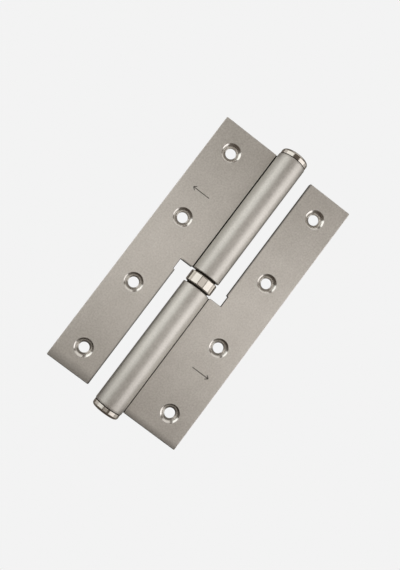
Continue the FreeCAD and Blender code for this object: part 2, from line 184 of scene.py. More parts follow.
class HingeFinish(bpy.types.PropertyGroup):
    """Colours and gloss of the metals, with the shade painted into some of them."""

    satin: colour("Satin nickel", "Colour of the leaves", 0.95, 0.93, 0.885)
    satin_shade: colour("Satin shade", "Darker tone in the leaves' grain", 0.72, 0.70, 0.655)
    cloud_share: factor("Cloud share", "Share of slow clouds in the satin's tone, beside its grain", 0.22)
    satin_roughness: factor("Satin roughness", "Roughness of the flat leaves", 0.42)
    satin_uneven: factor("Satin unevenness", "Change of roughness with the satin's grain", 0.05)
    barrel_roughness: factor("Barrel roughness", "Roughness of the burnished barrels", 0.48)
    # Painted shade: the barrels are painted darker than the leaves, and darker still on their sides
    barrel_front_shade: factor("Barrel tone", "Brightness of the barrels' fronts beside the leaves", 0.84)
    barrel_flank_shade: factor("Flank tone", "Brightness of the barrels' sides beside the leaves", 0.60)
    front_share: factor("Front share", "Part of a barrel's radius that is front", 0.58)
    flank_share: factor("Flank share", "Part of a barrel's radius where its side begins", 0.9)
    # Painted shade at the leaves' lower ends and along the edges next to the pin
    low_end_shade: factor("Pulled end tone", "Brightness at the leaves' lower ends", 0.49)
    inner_edge_shade: factor("Inner edge tone", "Brightness along the leaves' edges next to the pin", 0.25)
    polished: colour("Polished nickel", "Colour of the caps and the bearing case", 0.69, 0.655, 0.605)
    polished_roughness: factor("Polished roughness", "Roughness of the caps and the case", 0.13)
    steel: colour("Ground steel", "Colour of the pin, race and balls", 0.56, 0.56, 0.57)
    steel_roughness: factor("Steel roughness", "Roughness of the ground steel", 0.24)
    stamp: colour("Stamped groove", "Colour in the strokes of the stamped arrow", 0.10, 0.095, 0.085)
    stamp_roughness: factor("Stamp roughness", "Roughness of the stamped strokes", 0.6)
    # The cut edges' colour is partly their duller sheared surface and partly painted shade
    sheared: colour("Sheared edge", "Colour of the sheet's cut edges", 0.24, 0.225, 0.205)
    sheared_roughness: factor("Sheared roughness", "Roughness of the cut edges", 0.32)
    # Painted shade: a dark colour on the cut edges next to the pin or facing down
    shaded: colour("Oiled edge", "Colour of cut edges next to the pin or facing down", 0.085, 0.078, 0.071)
    shaded_roughness: factor("Oiled edge roughness", "Roughness of the oiled edges", 0.4)
    # Painted shade: a near-black colour in the gaps and seams
    oiled: colour("Oiled gap", "Colour of oiled steel in the gaps and seams", 0.022, 0.019, 0.016)
    oiled_roughness: factor("Oiled roughness", "Roughness of the oiled gaps and seams", 0.55)
    cone: colour("Machined cone", "Colour of the countersinks", 0.95, 0.93, 0.89)
    # Painted shade on the upper sides of the lower countersinks
    cone_shade: factor("Cone shade", "Brightness of the lowest countersinks' upper sides", 0.5)
    cone_roughness: factor("Cone roughness", "Roughness of the countersinks", 0.20)


class StudioSettings(bpy.types.PropertyGroup):
    """Camera, backdrop and lights."""

    distance: length("Camera distance", "Distance of the camera from its target", 326.24)
    target_x: length("Target X", "Target's place across the hinge", -3.83)
    target_z: length("Target Z", "Target's place along the pin", -12.53)
    focal_pixels: bpy.props.FloatProperty(
        name="Focal length", description="Focal length in pixels of the photograph", default=650.0, min=1
    )
    tilt: angle("Tilt", "Turn of the view upwards", 2.744)
    swing: angle("Swing", "Turn of the view to the left", -3.515)
    roll: angle("Roll", "Lean of the pin in the picture", 37.184)
    shift_right: factor("Shift right", "Sideways lens shift, by the picture's height", 20 / PHOTO_HEIGHT)
    shift_up: factor("Shift up", "Upward lens shift, by the picture's height", 13 / PHOTO_HEIGHT)
    clip_start: length("Clip start", "Nearest distance that the camera sees", 10.0)
    backdrop: colour("Backdrop", "Colour behind the hinge", 0.896, 0.896, 0.896)
    room_front: colour("Room in front", "Colour of the mirrored room before the hinge", 0.14, 0.12, 0.10)
    room_below: colour("Room below", "Colour of the mirrored room under the hinge", 0.07, 0.055, 0.045)
    room_back: colour("Room behind", "Colour of the mirrored room behind the hinge", 0.20, 0.18, 0.16)
    floor_drop: length("Floor drop", "Level of the floor below the pin's middle", 300.0)
    floor_radius: length("Floor radius", "Radius of the round floor", 260.0)
    floor_plain: length("Floor plain", "Radius up to which the floor is solid", 100.0)
    floor_gone: length("Floor gone", "Radius at which the floor has faded out", 250.0)
    floor_tone: colour("Floor", "Colour of the floor", 0.80, 0.80, 0.80)
    floor_speck: colour("Floor specks", "Colour of the floor's lighter specks", 0.84, 0.84, 0.84)
    floor_roughness: factor("Floor roughness", "Roughness of the floor", 0.8)
    floor_light: colour("Floor light", "Colour of the light that the floor gives back", 1.0, 0.99, 0.98)
    floor_glow: factor("Floor glow", "Strength of the light that the floor gives back", 0.42)


def sizes():
    return bpy.context.scene.hinge_leaf, bpy.context.scene.hinge_barrel


def finish():
    return bpy.context.scene.hinge_finish


# Modelling steps


def pick(piece):
    """Selects one piece alone and makes it the active one."""
    bpy.ops.object.select_all(action="DESELECT")
    bpy.context.view_layer.objects.active = piece
    piece.select_set(True)


@contextmanager
def editing(piece):
    """Edit mode on one piece alone."""
    pick(piece)
    bpy.ops.object.mode_set(mode="EDIT")
    try:
        yield
    finally:
        bpy.ops.object.mode_set(mode="OBJECT")


def select(kind, chosen):
    """Selects the vertices, edges or faces of the mesh in edit mode that chosen accepts."""
    mesh = bpy.context.edit_object.data
    bpy.ops.mesh.select_mode(type=kind)
    bpy.ops.mesh.select_all(action="DESELECT")
    model = bmesh.from_edit_mesh(mesh)
    parts = {"VERT": model.verts, "EDGE": model.edges, "FACE": model.faces}[kind]
    found = [part for part in parts if chosen(part)]
    if not found:
        raise RuntimeError(f"nothing to select on {bpy.context.edit_object.name}")
    for part in found:
        part.select_set(True)
    bmesh.update_edit_mesh(mesh)


def near(one, other, slack=SAME):
    return abs(one - other) < slack


def middle(part):
    """Middle of an edge or a face."""
    return sum((vert.co for vert in part.verts), Vector()) / len(part.verts)


def cut_across(place, direction):
    """Cuts the whole mesh in edit mode along a plane."""
    bpy.ops.mesh.select_all(action="SELECT")
    bpy.ops.mesh.bisect(plane_co=place, plane_no=direction)


def close_mesh():
    """Merges the doubled vertices of the mesh in edit mode and turns its faces outwards."""
    bpy.ops.mesh.select_all(action="SELECT")
    bpy.ops.mesh.remove_doubles(threshold=MERGE)
    bpy.ops.mesh.normals_make_consistent(inside=False)


def apply_place():
    """Puts the place, turn and scale of what is selected into its mesh."""
    bpy.ops.object.transform_apply(location=True, rotation=True, scale=True)


def apply_modifier(piece, kind, **settings):
    """Adds a modifier with these settings and applies it."""
    pick(piece)
    modifier = piece.modifiers.new(kind.title(), kind)
    for key, value in settings.items():
        setattr(modifier, key, value)
    bpy.ops.object.modifier_apply(modifier=modifier.name)


def cut_with(piece, cutter):
    """Takes the cutter's shape out of the piece and removes the cutter."""
    apply_modifier(piece, "BOOLEAN", object=cutter, operation="DIFFERENCE", solver="EXACT")
    bpy.data.objects.remove(cutter)


def settle(piece):
    """Puts the place into the mesh, turns the faces outwards and smooths the rounds."""
    pick(piece)
    apply_place()
    with editing(piece):
        close_mesh()
    bpy.ops.object.shade_smooth_by_angle(angle=SHARP_SHADING)


def flatten(piece, levels):
    """Shades the faces that lie across the line of sight at these depths as flat sheet."""
    for face in piece.data.polygons:
        if abs(face.normal.y) > FLAT and any(near(face.center.y, level, LOOSE) for level in levels):
            face.use_smooth = False


def turn_end_for_end(piece):
    """Copy of a piece, turned half round the line of sight."""
    pick(piece)
    bpy.ops.object.duplicate()
    other = bpy.context.object
    bpy.ops.transform.rotate(value=math.pi, orient_axis="Y", center_override=(0, 0, 0))
    apply_place()
    return other


def paint(piece, material):
    piece.data.materials.clear()
    piece.data.materials.append(material)


def touch_up(piece, name, chosen):
    """Gives the faces that chosen accepts a finish of their own."""
    piece.data.materials.append(finish_named(name))
    index = len(piece.data.materials) - 1
    found = [face for face in piece.data.polygons if chosen(face)]
    if not found:
        raise RuntimeError(f"no face of {piece.name} for {name}")
    for face in found:
        face.material_index = index


def hand_over(piece, node, slot):
    """Finishes a piece and hands it over to the frame in place of a node."""
    paint(piece, finish_named(slot))
    body = next(name for name, nodes in frame["record"]["behaviour"]["bodies"].items() if node in nodes)
    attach(piece, body)
    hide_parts(node)


# Leaves

# Share of a stroke's width that the stamped arrow's corners are rounded by
STROKE_ROUND = 0.45


def leaf_lines():
    """Radii, angles and places of the leaf's section, measured on the middle of the sheet."""
    leaf, _ = sizes()
    half = leaf.gauge / 2
    barrel = -LEAF_LOW.x
    bend_y = leaf.front + leaf.gauge + leaf.bend
    span = barrel + leaf.bend
    bend_x = math.sqrt(span**2 - bend_y**2)
    return {
        "barrel": barrel,
        "bend_x": bend_x,
        "bend_y": bend_y,
        "leave": math.atan2(bend_y, bend_x),
        "tip": 2 * math.pi + math.asin((leaf.front - leaf.seam) / barrel),
        "sheet_y": leaf.front + half,
        "knuckle_top": CASE_LOW.z,
        "notch": CASE_LOW.z + leaf.setback,
        "top": LEAF_HIGH.z,
        "bottom": 2 * MOUNTS["frame_leaf_back"]["pos_m"][2] - LEAF_HIGH.z,
        "reach": LEAF_HIGH.x,
        "strip": barrel + leaf.strip,
        "relief": barrel + leaf.strip + leaf.relief_depth,
    }


def lay_flat_leaf(at):
    """Flat part of the leaf, from the offset bend to the outer edge, with its notch cut out."""
    leaf, _ = sizes()
    width = at["reach"] - at["bend_x"]
    centre = Vector((at["bend_x"] + width / 2, at["sheet_y"], (at["top"] + at["bottom"]) / 2))
    bpy.ops.object.select_all(action="DESELECT")
    bpy.ops.mesh.primitive_plane_add(size=1, location=centre, rotation=(math.pi / 2, 0, 0))
    sheet = bpy.context.object
    sheet.scale = (width, at["top"] - at["bottom"], 1)
    apply_place()
    relief_end = at["knuckle_top"] + leaf.relief_length
    with editing(sheet):
        for x in (at["strip"], at["relief"]):
            cut_across((x, 0, 0), (1, 0, 0))
        for z in (at["knuckle_top"], at["notch"], relief_end):
            cut_across((0, 0, z), (0, 0, 1))

        def in_notch(face):
            place = middle(face)
            beside = place.x < at["strip"] and place.z > at["notch"]
            relief = place.x < at["relief"] and at["notch"] < place.z < relief_end
            return beside or relief

        select("FACE", in_notch)
        bpy.ops.mesh.delete(type="FACE")
        select("VERT", lambda vert: is_outer_corner(vert, at))
        bpy.ops.mesh.bevel(offset=leaf.corner, segments=leaf.corner_steps, affect="VERTICES")
    return sheet


def is_outer_corner(vert, at):
    """Whether a vertex is one of the leaf's three free corners."""
    at_end = near(vert.co.z, at["top"]) or near(vert.co.z, at["bottom"])
    outer = near(vert.co.x, at["reach"])
    strip_top = near(vert.co.x, at["strip"]) and vert.co.z > 0
    return at_end and (outer or strip_top)


def roll_knuckle(sheet, at):
    """Rolls the inner edge of the sheet round the offset bend and on round the pin."""
    leaf, _ = sizes()
    bend_turn = math.pi / 2 - at["leave"]
    bend_centre = (at["bend_x"], at["bend_y"], 0)
    roll_turn = at["leave"] - at["tip"]
    with editing(sheet):
        select("EDGE", lambda edge: is_roll_start(edge, at))
        bpy.ops.mesh.spin(steps=leaf.bend_steps, angle=bend_turn, center=bend_centre, axis=(0, 0, 1))
        bpy.ops.mesh.spin(steps=leaf.roll_steps, angle=roll_turn, center=(0, 0, 0), axis=(0, 0, 1))
        select("EDGE", lambda edge: is_barrel_end(edge, at))
        bpy.ops.mesh.extrude_edges_move(
            TRANSFORM_OT_translate={"value": (0, 0, LEAF_LOW.z - at["bottom"])}
        )


def is_roll_start(edge, at):
    """Whether an edge lies on the line that the sheet is rolled from, beside the knuckle."""
    on_line = all(near(vert.co.x, at["bend_x"]) for vert in edge.verts)
    return on_line and middle(edge).z < at["knuckle_top"]


def is_barrel_end(edge, at):
    """Whether an edge ends the barrel on the side of the cap."""
    place = middle(edge)
    at_end = all(near(vert.co.z, at["bottom"]) for vert in edge.verts)
    return at_end and math.hypot(place.x, place.y) < at["barrel"]


def is_knuckle_rim(edge, at):
    """Whether an edge lies on the outer rim of the knuckle's end beside the bearing."""
    return all(
        near(vert.co.z, at["knuckle_top"]) and near(math.hypot(vert.co.x, vert.co.y), at["barrel"], LOOSE)
        for vert in edge.verts
    )


def break_edges(sheet, width, steps):
    """Rounds the sheet's sharp edges."""
    apply_modifier(
        sheet,
        "BEVEL",
        width=width,
        segments=steps,
        limit_method="ANGLE",
        angle_limit=SHARP_EDGE,
        use_clamp_overlap=True,
    )


def screw_holes():
    """Middles of the frame leaf's row of screw holes, from the record's mounts."""
    middles = []
    for name in ("frame_screws_outer", "frame_screws_inner"):
        mount = MOUNTS[name]
        for side in (-1, 1):
            level = mount["pos_m"][2] + side * mount["dims"]["spacing_y_mm"] * MM / 2
            middles.append(Vector((mount["pos_m"][0], 0, level)))
    return middles


def bore_screw_holes(sheet):
    """Cuts the row of countersunk holes where the record's screws go."""
    radius = MOUNTS["frame_screws_outer"]["dims"]["hole_r_mm"] * MM
    for centre in screw_holes():
        cut_with(sheet, make_countersink(centre, radius))


def make_countersink(centre, radius):
    """Cutter for one hole: a drill with a wide 90 degree head that starts in front of the face."""
    leaf, _ = sizes()
    back = leaf.front + leaf.gauge
    throat = leaf.front + leaf.countersink / 2 - radius
    overshoot = 0.5 * MM
    depth = back + overshoot - throat
    bpy.ops.object.select_all(action="DESELECT")
    bpy.ops.mesh.primitive_cylinder_add(
        vertices=leaf.hole_steps,
        radius=radius,
        depth=depth,
        location=(centre.x, throat + depth / 2, centre.z),
        rotation=(math.pi / 2, 0, 0),
    )
    cutter = bpy.context.object
    apply_place()
    widen = (leaf.countersink / 2 + overshoot) / radius
    rise = throat - leaf.front + overshoot
    with editing(cutter):
        select("FACE", lambda face: face.normal.y < -ALONG)
        bpy.ops.mesh.extrude_region_move(TRANSFORM_OT_translate={"value": (0, -rise, 0)})
        bpy.ops.transform.resize(value=(widen, 1, widen), center_override=(centre.x, 0, centre.z))
    return cutter


def stamp_arrow(sheet):
    """Presses a plain arrow into the face beside the second hole."""
    leaf, _ = sizes()
    across = MOUNTS["frame_screws_outer"]["pos_m"][0]
    tip = Vector((across + leaf.mark_length / 2, leaf.front, -leaf.mark_level))
    strokes = [(leaf.mark_length, 0), (leaf.barb, leaf.barb_turn), (leaf.barb, -leaf.barb_turn)]
    for reach, turn in strokes:
        bpy.ops.object.select_all(action="DESELECT")
        bpy.ops.mesh.primitive_cube_add(size=1, location=tip)
        cutter = bpy.context.object
        cutter.scale = (reach, 2 * leaf.mark_depth, leaf.mark_stroke)
        bpy.ops.object.transform_apply(location=False, rotation=False, scale=True)
        with editing(cutter):
            bpy.ops.mesh.select_all(action="SELECT")
            bpy.ops.transform.translate(value=(-reach / 2, 0, 0))
            select("EDGE", is_upright)
            bpy.ops.mesh.bevel(
                offset=leaf.mark_stroke * STROKE_ROUND, segments=leaf.corner_steps, affect="EDGES"
            )
        cutter.rotation_euler = (0, turn, 0)
        pick(cutter)
        apply_place()
        cut_with(sheet, cutter)


def is_upright(edge):
    """Whether an edge runs through the sheet."""
    along = edge.verts[0].co - edge.verts[1].co
    return abs(along.y) > ALONG * along.length


def cut_seam(sheet, at):
    """Cuts the narrow groove under the rolled tip, which shows as the seam beside the barrel."""
    leaf, _ = sizes()
    rise = leaf.groove_depth + leaf.seam / 2
    run = at["knuckle_top"] - at["bottom"]
    overshoot = 0.2 * MM
    centre = (at["barrel"], leaf.front - leaf.seam / 2 + rise / 2, (at["knuckle_top"] + at["bottom"]) / 2)
    bpy.ops.object.select_all(action="DESELECT")
    bpy.ops.mesh.primitive_cube_add(size=1, location=centre)
    cutter = bpy.context.object
    cutter.scale = (2 * leaf.groove_width, rise, run + overshoot)
    apply_place()

    def is_bottom(edge):
        return near(edge.verts[0].co.y, edge.verts[1].co.y) and middle(edge).y > leaf.front

    with editing(cutter):
        select("EDGE", is_bottom)
        bpy.ops.mesh.bevel(offset=leaf.groove_round, segments=leaf.edge_steps, affect="EDGES")
    cut_with(sheet, cutter)


def build_leaf():
    """One leaf with its rolled knuckle, in the frame leaf's place."""
    leaf, _ = sizes()
    at = leaf_lines()
    sheet = lay_flat_leaf(at)
    roll_knuckle(sheet, at)
    with editing(sheet):
        close_mesh()
    apply_modifier(sheet, "SOLIDIFY", thickness=leaf.gauge, offset=0.0, use_even_offset=True)
    with editing(sheet):
        select("EDGE", lambda edge: is_knuckle_rim(edge, at))
        bpy.ops.mesh.bevel(offset=leaf.rim_round, segments=leaf.corner_steps, affect="EDGES")
    break_edges(sheet, leaf.edge, leaf.edge_steps)
    bore_screw_holes(sheet)
    stamp_arrow(sheet)
    break_edges(sheet, leaf.burr, 1)
    cut_seam(sheet, at)
    settle(sheet)
    flatten(sheet, (leaf.front, leaf.front + leaf.gauge, leaf.front + leaf.mark_depth))
    return sheet


def finish_leaf(piece, side):
    """Finishes the cut edges, countersinks, seam and stamped arrow of a leaf on this side of the pin."""
    leaf, _ = sizes()
    at = leaf_lines()
    back = leaf.front + leaf.gauge
    flat_start = at["barrel"] + 2 * leaf.groove_width

    def is_sheared(face):
        return side * face.center.x > flat_start and abs(face.normal.y) <= UNSHEARED

    def is_shaded(face):
        if side * face.center.x <= flat_start or abs(face.normal.y) > UNBROKEN:
            return False
        inner = side * face.center.x < at["relief"] + leaf.edge
        stamped = abs(abs(face.center.z) - leaf.mark_level) < leaf.mark_length / 2
        next_to_pin = inner and side * face.normal.x < -FACING
        downward = face.normal.z < -FACING and not stamped
        return next_to_pin or downward

    def is_cone(face):
        from_hole = min(
            math.hypot(side * face.center.x - hole.x, side * face.center.z - hole.z)
            for hole in screw_holes()
        )
        within = leaf.front + SLACK < face.center.y < back - SLACK
        return within and from_hole < leaf.countersink / 2 + 2 * LOOSE

    def is_seam(face):
        beside = abs(side * face.center.x - at["barrel"]) < leaf.groove_width + SLACK
        deep = leaf.front + LOOSE < face.center.y < leaf.front + leaf.groove_depth + SLACK
        return beside and deep and abs(face.normal.z) < ALONG

    def is_stamp(face):
        floor = near(face.center.y, leaf.front + leaf.mark_depth, 2 * SLACK)
        return floor and face.normal.y < -FRONTWARD

    # Cut edges: partly their duller sheared surface, partly painted shade
    touch_up(piece, "sheared_edge", is_sheared)
    # Painted shade on the cut edges next to the pin or facing down
    touch_up(piece, "oiled_edge", is_shaded)
    touch_up(piece, "machined_cone", is_cone)
    # Painted shade in the seam groove beside the barrel
    touch_up(piece, "oiled_gap", is_seam)
    touch_up(piece, "stamped_groove", is_stamp)


# Turned pieces


def turn_profile(name, profile, closed=False):
    """Piece turned about the pin: a circle drawn out ring by ring along radii and levels."""
    _, barrel = sizes()
    radius, level = profile[0]
    bpy.ops.object.select_all(action="DESELECT")
    bpy.ops.mesh.primitive_circle_add(
        vertices=barrel.turn_steps,
        radius=radius,
        fill_type="NOTHING" if closed else "NGON",
        location=(0, 0, level),
    )
    piece = bpy.context.object
    piece.name = name
    with editing(piece):
        bpy.ops.mesh.select_mode(type="EDGE")
        bpy.ops.mesh.select_all(action="SELECT")
        for (radius, level), (next_radius, next_level) in zip(profile, profile[1:]):
            bpy.ops.mesh.extrude_edges_move(
                TRANSFORM_OT_translate={"value": (0, 0, next_level - level)}
            )
            grow = next_radius / radius
            bpy.ops.transform.resize(value=(grow, grow, 1), center_override=(0, 0, next_level))
        if closed:
            bpy.ops.mesh.select_non_manifold(extend=False)
            bpy.ops.mesh.bridge_edge_loops()
        else:
            bpy.ops.mesh.edge_face_add()
    settle(piece)
    return piece


def soften(piece, rings, width, steps):
    """Rounds the ring edges at these radii and levels."""
    with editing(piece):
        select("EDGE", lambda edge: any(on_ring(edge, *ring) for ring in rings))
        bpy.ops.mesh.bevel(offset=width, segments=steps, affect="EDGES", profile=0.5)
    settle(piece)


def on_ring(edge, radius, level):
    return all(
        near(math.hypot(vert.co.x, vert.co.y), radius) and near(vert.co.z, level) for vert in edge.verts
    )


def build_cap():
    """Cap of the lower barrel, with a rounded rim and a spigot in the bore."""
    _, barrel = sizes()
    rim = CAP_HIGH.x
    face = CAP_LOW.z
    seat = LEAF_LOW.z
    bore = PIN_HIGH.x
    cap = turn_profile(
        "bottom_cap_turned",
        [
            (rim, face),
            (rim, seat - barrel.cap_groove),
            (rim - barrel.cap_groove, seat),
            (bore, seat),
            (bore, CAP_HIGH.z),
        ],
    )
    soften(cap, [(rim, face)], barrel.cap_round, barrel.round_steps)
    return cap


def is_cap_groove(face):
    """Whether a face lies in the groove between a cap and its barrel."""
    _, barrel = sizes()
    seat = -LEAF_LOW.z
    return seat < abs(face.center.z) < seat + barrel.cap_groove and abs(face.normal.z) < ALONG


def bearing_radii():
    """Radii of the case's inside, its lip and the hole round the pin, and the lip's inner bevel."""
    _, barrel = sizes()
    inside = CASE_HIGH.x - barrel.case_wall
    lip = inside - barrel.case_lip
    hole = PIN_HIGH.x - barrel.pin_play + barrel.race_play
    bevel = (barrel.case_round - barrel.case_wall) * (2 - math.sqrt(2))
    return inside, lip, hole, bevel


def race_groove():
    """Middle radius and depth of the grooves that the balls run in."""
    _, barrel = sizes()
    low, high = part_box(BALLS[0])
    circle = (low.x + high.x) / 2
    ball = (high.z - low.z) / 2
    return circle, barrel.groove_share * ball


def build_case():
    """Polished ring with its lip curled in over the race and a groove in its floor."""
    _, barrel = sizes()
    inside, lip, hole, bevel = bearing_radii()
    circle, depth = race_groove()
    low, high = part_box(BALLS[0])
    floor = low.z + high.z - RACE_LOW.z
    ceiling = CASE_HIGH.z - barrel.case_wall
    skirt = CASE_LOW.z + barrel.case_foot
    rim = CASE_HIGH.x
    case = turn_profile(
        "bearing_case_turned",
        [
            (hole, CASE_LOW.z),
            (lip, CASE_LOW.z),
            (lip, skirt),
            (rim, skirt),
            (rim, CASE_HIGH.z),
            (lip, CASE_HIGH.z),
            (lip, ceiling),
            (inside - bevel, ceiling),
            (inside, ceiling - bevel),
            (inside, floor),
            (circle + depth, floor),
            (circle, floor - depth),
            (circle - depth, floor),
            (hole, floor),
        ],
        closed=True,
    )
    soften(case, [(rim, skirt), (rim, CASE_HIGH.z)], barrel.case_round, barrel.round_steps)
    soften(case, [(lip, CASE_HIGH.z), (lip, ceiling)], barrel.edge, barrel.edge_steps)
    return case


def build_race():
    """Race that carries the upper barrel, with a collar that comes up through the case's lip."""
    _, barrel = sizes()
    _, lip, hole, bevel = bearing_radii()
    circle, depth = race_groove()
    rim = RACE_HIGH.x
    collar = lip - barrel.race_play
    shoulder = CASE_HIGH.z - barrel.case_wall - barrel.race_play
    race = turn_profile(
        "upper_race_turned",
        [
            (hole, RACE_LOW.z),
            (circle - depth, RACE_LOW.z),
            (circle, RACE_LOW.z + depth),
            (circle + depth, RACE_LOW.z),
            (rim, RACE_LOW.z),
            (rim, shoulder - bevel),
            (rim - bevel, shoulder),
            (collar, shoulder),
            (collar, RACE_HIGH.z),
            (hole, RACE_HIGH.z),
        ],
        closed=True,
    )
    soften(race, [(collar, RACE_HIGH.z), (hole, RACE_HIGH.z)], barrel.edge, barrel.edge_steps)
    return race


def build_pin():
    """Pin, pressed into the lower barrel and a little thinner above it, with a tapered nose."""
    _, barrel = sizes()
    thick = PIN_HIGH.x
    thin = thick - barrel.pin_play
    taper = PIN_HIGH.z - barrel.pin_nose_length
    pin = turn_profile(
        "hinge_pin_turned",
        [
            (thick - barrel.pin_lead, PIN_LOW.z),
            (thick, PIN_LOW.z + barrel.pin_lead),
            (thick, CASE_LOW.z),
            (thin, CASE_LOW.z),
            (thin, taper),
            (thin - barrel.pin_nose, PIN_HIGH.z),
        ],
    )
    nose = [(thin, taper), (thin - barrel.pin_nose, PIN_HIGH.z)]
    soften(pin, nose, barrel.pin_round, barrel.nose_steps)
    return pin


def build_ball():
    """One ball about the origin, cast from a finely divided cube."""
    _, barrel = sizes()
    low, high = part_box(BALLS[0])
    radius = (high.z - low.z) / 2
    bpy.ops.object.select_all(action="DESELECT")
    bpy.ops.mesh.primitive_cube_add(size=2 * radius)
    ball = bpy.context.object
    with editing(ball):
        bpy.ops.mesh.select_all(action="SELECT")
        bpy.ops.mesh.subdivide(number_cuts=barrel.ball_cuts)
    apply_modifier(ball, "CAST", cast_type="SPHERE", factor=1.0, use_radius_as_size=False, size=radius)
    settle(ball)
    return ball


# Finishes

# Settings that colour the dull finishes, and the turned ones with how strongly their rings show
DULL_FINISHES = {
    "stamped_groove": "stamp",
    # Cut edges: partly their duller sheared surface, partly painted shade
    "sheared_edge": "sheared",
    # Painted shade on the cut edges next to the pin or facing down
    "oiled_edge": "shaded",
    # Painted shade in the gaps and seams
    "oiled_gap": "oiled",
}
TURNED_FINISHES = {"polished_nickel": ("polished", 0.04), "ground_steel": ("steel", 0.10)}

# Darkest and lightest tone, and lowest and highest roughness, that a pattern adds to a finish
DULL_TONES, DULL_GLOSS = (1.0, 1.6), (-0.1, 0.1)
TURNED_TONES, TURNED_GLOSS = (0.88, 1.0), (-0.04, 0.06)
CONE_TONES, CONE_GLOSS = (0.75, 1.0), (-0.06, 0.08)

# Strength and depth of the bumps of the satin's grain and of the tools' rings
SATIN_BUMP, SATIN_DEPTH = 0.12, 0.04 * MM
CONE_BUMP, CONE_DEPTH = 0.15, 0.02 * MM
RING_DEPTH = 0.01 * MM

# Sizes of the satin's grain and clouds, of the rings and, per metre, of the smears
GRAIN_SIZE = 0.9 * MM
CLOUD_SIZE = 12 * MM
RING_WIDTH = 0.2 * MM
CONE_RING_WIDTH = 0.18 * MM
SMEAR_SCALE = 240.0

# Part of a noise's range that is drawn out to the whole
NOISE_SPAN = (0.3, 0.7)

# Height in a countersink, by its radius, where the painted shade on its upper side starts and is darkest
CONE_TURN = (-0.1, 0.8)


class Tree:
    """Short calls to add and join the nodes of a material, a world or a group."""

    def __init__(self, nodes_of):
        self.nodes = nodes_of.nodes
        self.links = nodes_of.links

    def add(self, kind, inputs=None, **settings):
        node = self.nodes.new(kind)
        for key, value in settings.items():
            setattr(node, key, value)
        for key, value in (inputs or {}).items():
            self.feed(node, key, value)
        return node

    def feed(self, node, key, value):
        if isinstance(value, bpy.types.NodeSocket):
            self.links.new(value, node.inputs[key])
        else:
            node.inputs[key].default_value = value

    def calculate(self, operation, *values):
        """Result of an operation on one to three values."""
        return self.add("ShaderNodeMath", dict(enumerate(values)), operation=operation).outputs[0]

    def spread(self, mask, low, high, start=0.0, end=1.0, **settings):
        """Value that goes from low to high while the mask goes from start to end."""
        ranges = {"Value": mask, "From Min": start, "From Max": end, "To Min": low, "To Max": high}
        return self.add("ShaderNodeMapRange", ranges, **settings).outputs[0]

    def blend(self, mask, dark, light):
        """Colour between two others, each given as a colour or as a socket."""
        mix = self.add("ShaderNodeMix", {0: mask}, data_type="RGBA")
        for key, tone in ((6, dark), (7, light)):
            self.feed(mix, key, tone if isinstance(tone, bpy.types.NodeSocket) else (*tone, 1))
        return mix.outputs[2]

    def shade(self, tone, level):
        """Colour brought down to a level of brightness."""
        return self.add("ShaderNodeVectorMath", {0: tone, "Scale": level}, operation="SCALE").outputs[0]

    def split(self, place):
        """The three parts of a place."""
        parts = self.add("ShaderNodeSeparateXYZ", {"Vector": place}).outputs
        return parts["X"], parts["Y"], parts["Z"]

    def radius(self, place):
        """Distance of a place from the upright axis."""
        flat = self.add("ShaderNodeVectorMath", {0: place, 1: (1, 1, 0)}, operation="MULTIPLY")
        return self.add("ShaderNodeVectorMath", {0: flat.outputs[0]}, operation="LENGTH").outputs["Value"]

    def bump(self, shader, strength, depth, height):
        """Feeds a shader's normal with this relief."""
        node = self.add("ShaderNodeBump", {"Strength": strength, "Distance": depth, "Height": height})
        self.feed(shader, "Normal", node.outputs[0])


def new_group(name, inputs, outputs):
    """Empty shader group with a place and named sizes for inputs, and values for outputs."""
    group = bpy.data.node_groups.new(name, "ShaderNodeTree")
    group.interface.new_socket("Vector", in_out="INPUT", socket_type="NodeSocketVector")
    for label, default in inputs.items():
        socket = group.interface.new_socket(label, in_out="INPUT", socket_type="NodeSocketFloat")
        socket.default_value = default
    for label in outputs:
        group.interface.new_socket(label, in_out="OUTPUT", socket_type="NodeSocketFloat")
    tree = Tree(group)
    return group, tree, tree.add("NodeGroupInput").outputs, tree.add("NodeGroupOutput")


def build_grain_group(name):
    """Fine pearl grain of a blasted and plated sheet, over slow clouds of tone."""
    group, tree, given, out = new_group(
        name, {"Grain size": GRAIN_SIZE, "Cloud size": CLOUD_SIZE}, ("Grain", "Cloud", "Height")
    )
    fine = tree.calculate("DIVIDE", 1.0, given["Grain size"])
    slow = tree.calculate("DIVIDE", 1.0, given["Cloud size"])
    grain = tree.add(
        "ShaderNodeTexNoise", {"Vector": given["Vector"], "Scale": fine, "Detail": 3.0, "Roughness": 0.65}
    ).outputs["Fac"]
    cloud = tree.add(
        "ShaderNodeTexNoise", {"Vector": given["Vector"], "Scale": slow, "Detail": 2.0, "Roughness": 0.5}
    ).outputs["Fac"]
    pits = tree.add(
        "ShaderNodeTexVoronoi", {"Vector": given["Vector"], "Scale": fine}, feature="SMOOTH_F1"
    ).outputs["Distance"]
    tree.feed(out, "Grain", tree.spread(grain, 0.0, 1.0, *NOISE_SPAN))
    tree.feed(out, "Cloud", tree.spread(cloud, 0.0, 1.0, *NOISE_SPAN))
    tree.feed(out, "Height", tree.calculate("ADD", grain, pits))
    return group


def build_lathe_group(name):
    """Fine rings that a lathe and a buff leave round the pin's axis."""
    group, tree, given, out = new_group(name, {"Ring width": RING_WIDTH}, ("Rings", "Smear"))
    level = tree.split(given["Vector"])[2]
    walk = tree.calculate("SUBTRACT", tree.radius(given["Vector"]), level)
    rings = add_rings(tree, tree.calculate("DIVIDE", walk, given["Ring width"]))
    smear = tree.add(
        "ShaderNodeTexNoise", {"Vector": given["Vector"], "Scale": SMEAR_SCALE, "Detail": 3.0}
    )
    tree.feed(out, "Rings", rings)
    tree.feed(out, "Smear", smear.outputs["Fac"])
    return group


